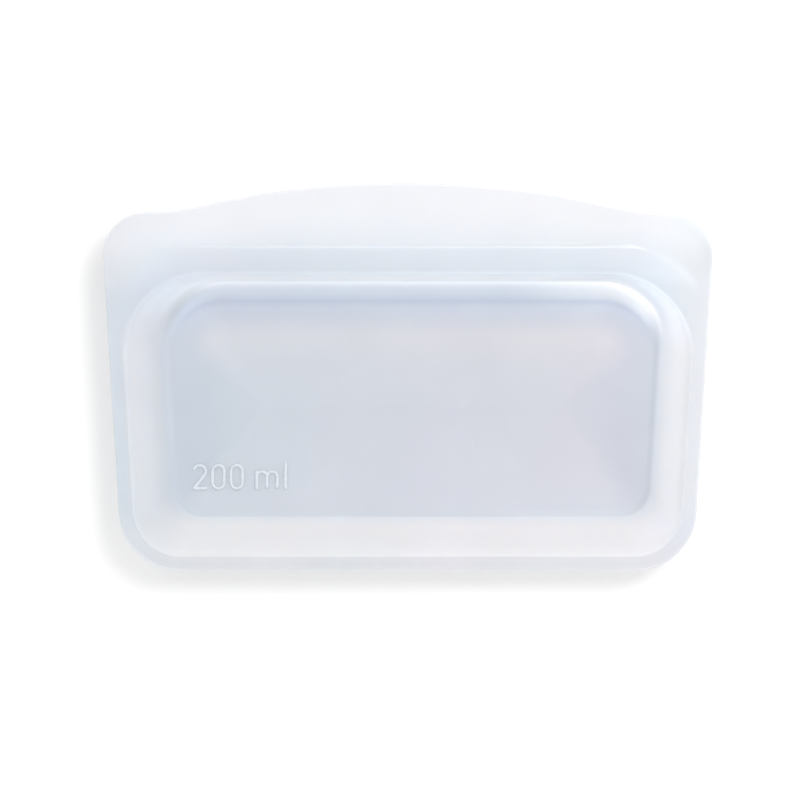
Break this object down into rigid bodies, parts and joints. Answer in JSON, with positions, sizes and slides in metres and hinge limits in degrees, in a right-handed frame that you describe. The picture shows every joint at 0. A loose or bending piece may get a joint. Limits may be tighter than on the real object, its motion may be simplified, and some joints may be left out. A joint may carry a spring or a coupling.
{
  "type": "reusable silicone bag",
  "caption": "Flat frosted silicone food pouch with raised tray-like walls, an arched pull lip and a press-together rib-and-channel closure along its mouth.",
  "frame": {"origin": "centre of the bag's bounding rectangle, on the plane that the back wall rests on", "axes": "+X along the mouth, +Y from the bottom seam to the mouth and pull lips, +Z from the back wall to the front wall"},
  "size_m": [0.1906, 0.1212, 0.0201],
  "materials": {
    "clear_silicone": "frosted translucent moulded silicone, satin outside, faint blue cast",
    "seal_silicone": "translucent silicone, smooth from the extrusion",
    "bond_silicone": "cured translucent silicone adhesive, slightly glossy",
    "white_print": "thin matt white silicone ink"
  },
  "bodies": {
    "back_half": {"back_panel": "clear_silicone", "perimeter_bond": "bond_silicone", "seal_channel": "seal_silicone", "left_end_stop": "bond_silicone", "right_end_stop": "bond_silicone"},
    "front_half": {"front_panel": "clear_silicone", "seal_rib": "seal_silicone", "capacity_mark": "white_print"},
    "back_lip": {"back_lip": "clear_silicone"},
    "back_wall": {"back_wall": "clear_silicone"}
  },
  "joints": [
    {"name": "mouth_open", "type": "hinge", "parent": "back_half", "child": "front_half", "pos_m": [0, -0.06065, 0.01015], "axis": [1, 0, 0], "range_deg": [0, 18], "stiffness_Nm_per_rad": 0.05},
    {"name": "back_lip_bend", "type": "hinge", "parent": "back_half", "child": "back_lip", "pos_m": [0, 0.04155, 0.0092], "axis": [-1, 0, 0], "range_deg": [0, 26], "stiffness_Nm_per_rad": 0.02},
    {"name": "back_wall_press", "type": "slide", "parent": "back_half", "child": "back_wall", "axis": [0, 0, 1], "range_m": [0, 0.006], "stiffness_N_per_m": 60}
  ]
}
